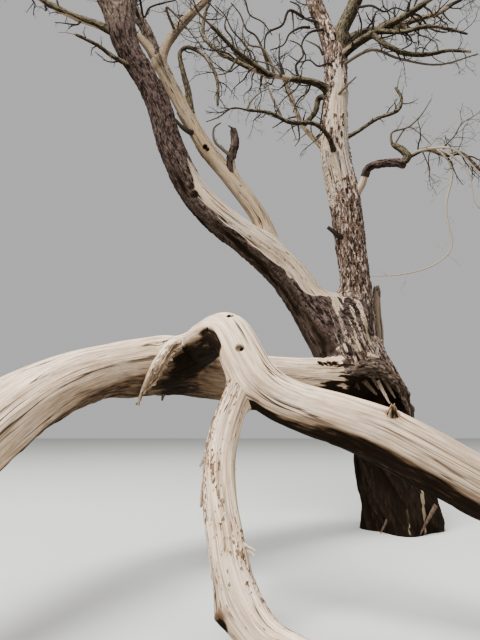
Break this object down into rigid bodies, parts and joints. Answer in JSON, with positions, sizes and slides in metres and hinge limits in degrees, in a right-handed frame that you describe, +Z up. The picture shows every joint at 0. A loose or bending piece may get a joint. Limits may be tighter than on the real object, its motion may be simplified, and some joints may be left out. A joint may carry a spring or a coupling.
{
  "type": "dead pine tree",
  "caption": "Dead bare pine: leaning trunk with a torn hollow, tall stems, a sweeping low limb with an arch and ground-reaching limbs, and bare twigs.",
  "frame": {"origin": "the middle of the flat cut under the trunk, at ground level", "axes": "+Z up; +Y away from the side first seen, +X to its right"},
  "size_m": [7.1738, 7.9577, 10.2777],
  "materials": {
    "fissured_wood": "rough, deeply fissured dead wood with torn bark",
    "bark": "rough scaly bark, partly flaked off",
    "bare_wood": "weathered bare wood with fine long cracks",
    "twigs": "dry bare twigs"
  },
  "bodies": {
    "root": {"arch_limb_fall": "bare_wood", "arch_limb_rise": "bare_wood", "back_bough_high": "bark", "back_bough_left": "bark", "back_bough_right": "bark", "bent_bough": "bark", "bent_bough_side": "bark", "foot_limb": "bare_wood", "front_bough_high": "bark", "front_bough_left": "bark", "hooked_branch_fall": "bark", "hooked_branch_rise": "bark", "leader_left": "bare_wood", "leader_right": "bark", "leaning_fork_left": "bark", "leaning_fork_right": "bark", "leaning_side_bough": "bark", "leaning_stem_high": "bark", "leaning_stem_low": "bare_wood", "left_bough_back": "bare_wood", "left_bough_fork": "bark", "left_bough_lower": "bark", "left_bough_upper": "bark", "low_limb_inner": "bare_wood", "low_limb_middle": "bare_wood", "low_limb_outer": "bare_wood", "right_bough_far": "bark", "right_bough_near": "bark", "right_limb_inner": "bare_wood", "right_limb_outer": "bare_wood", "second_fork_left": "bark", "second_fork_right": "bare_wood", "second_stem": "bare_wood", "torn_splinter": "bare_wood", "trunk": "fissured_wood", "trunk_snag": "bare_wood", "twigs_back_high": "twigs", "twigs_back_left": "twigs", "twigs_back_right": "twigs", "twigs_bent_bough": "twigs", "twigs_front_high": "twigs", "twigs_front_left": "twigs", "twigs_leader_right": "twigs", "twigs_leaning_left": "twigs", "twigs_leaning_right": "twigs", "twigs_leaning_side": "twigs", "twigs_left_back": "twigs", "twigs_left_fork": "twigs", "twigs_left_lower": "twigs", "twigs_left_upper": "twigs", "twigs_low_limb": "twigs", "twigs_right_far": "twigs", "twigs_right_limb": "twigs", "twigs_right_near": "twigs", "twigs_second_left": "twigs", "twigs_second_right": "twigs", "twigs_top": "twigs", "upright_stem_high": "bare_wood", "upright_stem_low": "bark"}
  },
  "joints": []
}
